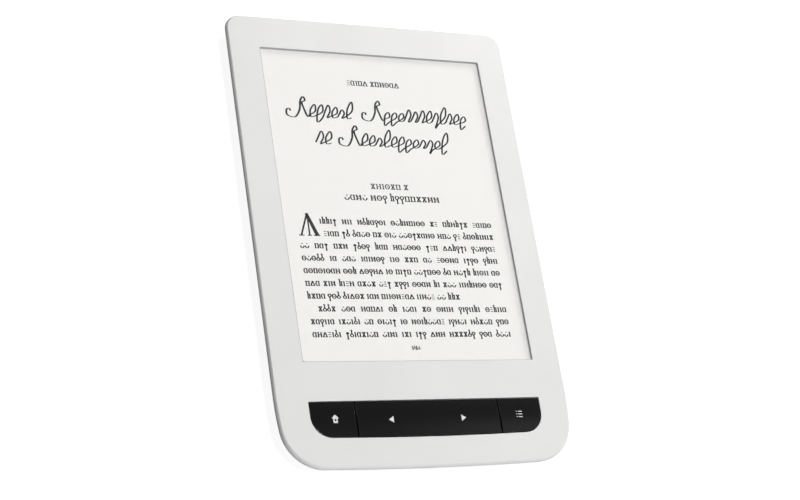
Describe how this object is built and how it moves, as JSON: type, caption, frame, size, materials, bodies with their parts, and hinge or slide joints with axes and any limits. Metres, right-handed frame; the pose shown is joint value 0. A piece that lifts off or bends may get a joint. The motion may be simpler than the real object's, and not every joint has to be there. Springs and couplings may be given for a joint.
{
  "type": "e-reader",
  "caption": "Slim six-inch e-reader with a matte white case, a recessed paper-like screen and a row of black keys, lying on its back.",
  "frame": {"origin": "middle of the flat back, on the surface that the reader lies on", "axes": "+X to the reader's right hand, +Y towards the top of the page, +Z out of the screen"},
  "size_m": [0.1146, 0.1744, 0.0083],
  "materials": {
    "bezel_white": "fine-textured matte white moulded plastic",
    "cover_white": "matte white moulded plastic with a fine spark texture",
    "key_black": "near-black moulded plastic with a soft sheen",
    "button_white": "satin white moulded plastic",
    "silicone": "black silicone sheet",
    "pcb": "green solder mask",
    "black_plastic": "black moulded plastic",
    "chip_black": "black chip package",
    "dome_steel": "bright stamped steel",
    "steel": "stamped steel sheet",
    "screw_steel": "black zinc steel screws",
    "flex_amber": "amber polyimide flexible circuit",
    "foam_black": "thin closed-cell black foam",
    "tape_clear": "pale double-sided tape",
    "touch_clear": "thin clear sheet with an anti-glare front",
    "guide_clear": "clear light guide",
    "led_yellow": "small white diode with a yellow lens",
    "paper_white": "paper-white electronic ink film",
    "display_glass": "grey-green thin-film glass",
    "magnesium": "cast light alloy, lightly blasted",
    "battery_foil": "silver laminate pouch",
    "wire_red": "thin insulated wires",
    "ceramic_part": "small ceramic components"
  },
  "bodies": {
    "case": {"battery_board": "pcb", "battery_cell": "battery_foil", "battery_foam": "foam_black", "battery_lead": "wire_red", "battery_plug": "black_plastic", "battery_socket": "black_plastic", "battery_tape": "tape_clear", "board_passives": "ceramic_part", "board_screws": "screw_steel", "bracket_screws": "screw_steel", "card_contacts": "black_plastic", "card_socket": "steel", "chassis": "magnesium", "chassis_screws": "screw_steel", "clock_crystal": "steel", "display_backplane": "display_glass", "display_connector": "black_plastic", "display_drivers": "chip_black", "display_flex": "flex_amber", "display_tape": "foam_black", "eink_film": "paper_white", "front_bezel": "bezel_white", "frontlight_connector": "black_plastic", "frontlight_flex": "flex_amber", "frontlight_leds": "led_yellow", "hall_sensor": "chip_black", "key_board": "pcb", "key_bracket": "steel", "key_connector": "black_plastic", "key_domes": "dome_steel", "key_flex": "flex_amber", "key_switches": "black_plastic", "key_web": "silicone", "light_guide": "guide_clear", "main_board": "pcb", "memory_chip": "chip_black", "power_coil": "ceramic_part", "power_ic": "chip_black", "power_switch": "black_plastic", "processor": "chip_black", "rear_cover": "cover_white", "reset_switch": "black_plastic", "screen_gasket": "foam_black", "shield_can": "steel", "storage_chip": "chip_black", "touch_connector": "black_plastic", "touch_flex": "flex_amber", "touch_panel": "touch_clear", "usb_socket": "steel", "usb_tongue": "black_plastic", "wifi_antenna": "ceramic_part", "wifi_module": "steel"},
    "home_key": {"home_key": "key_black"},
    "page_rocker": {"page_rocker": "key_black"},
    "menu_key": {"menu_key": "key_black"},
    "power_button": {"power_button": "button_white"}
  },
  "joints": [
    {"name": "home_key_press", "type": "slide", "parent": "case", "child": "home_key", "axis": [0, 0, -1], "range_m": [0, 0.0003], "stiffness_N_per_m": 4000},
    {"name": "menu_key_press", "type": "slide", "parent": "case", "child": "menu_key", "axis": [0, 0, -1], "range_m": [0, 0.0003], "stiffness_N_per_m": 4000},
    {"name": "page_rocker_tilt", "type": "hinge", "parent": "case", "child": "page_rocker", "pos_m": [0, -0.0694, 0.00575], "axis": [0, 1, 0], "range_deg": [-0.8, 0.8], "stiffness_Nm_per_rad": 1.2},
    {"name": "power_button_press", "type": "slide", "parent": "case", "child": "power_button", "axis": [0, 1, 0], "range_m": [0, 0.00035], "stiffness_N_per_m": 4000}
  ]
}
